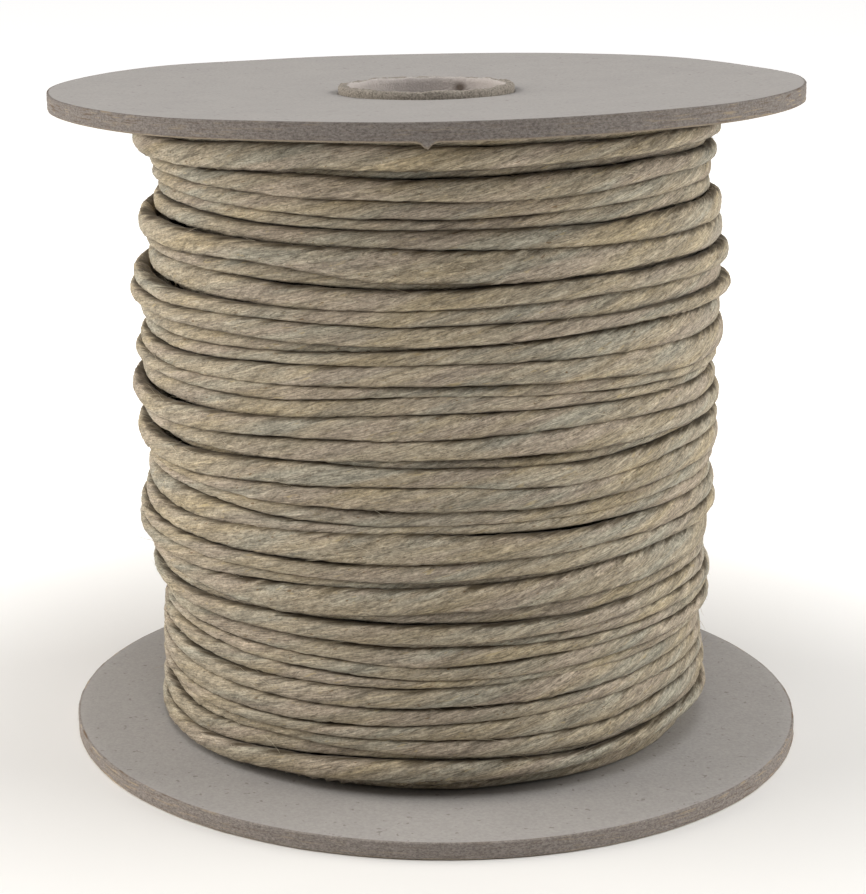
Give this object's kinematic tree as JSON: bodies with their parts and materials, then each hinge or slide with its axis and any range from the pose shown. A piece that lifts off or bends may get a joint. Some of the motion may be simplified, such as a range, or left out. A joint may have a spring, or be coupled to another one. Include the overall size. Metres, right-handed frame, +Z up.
{
  "type": "hemp cord on a cardboard spool",
  "caption": "Twisted hemp cord wound in uneven turns on a paper core tube between round greyboard discs, standing on its lower disc.",
  "frame": {"origin": "middle of the underside of the lower disc, at the centre of the part's extent", "axes": "+Z up, along the spool; the front is at -Y; +X to the right of the front"},
  "size_m": [0.127, 0.125, 0.1115],
  "materials": {
    "greyboard": "matte",
    "core_paper": "matte",
    "hemp": "matte"
  },
  "bodies": {
    "root": {"flange_bottom": "greyboard", "flange_top": "greyboard", "core_tube": "core_paper", "cord_winding": "hemp"}
  },
  "joints": []
}
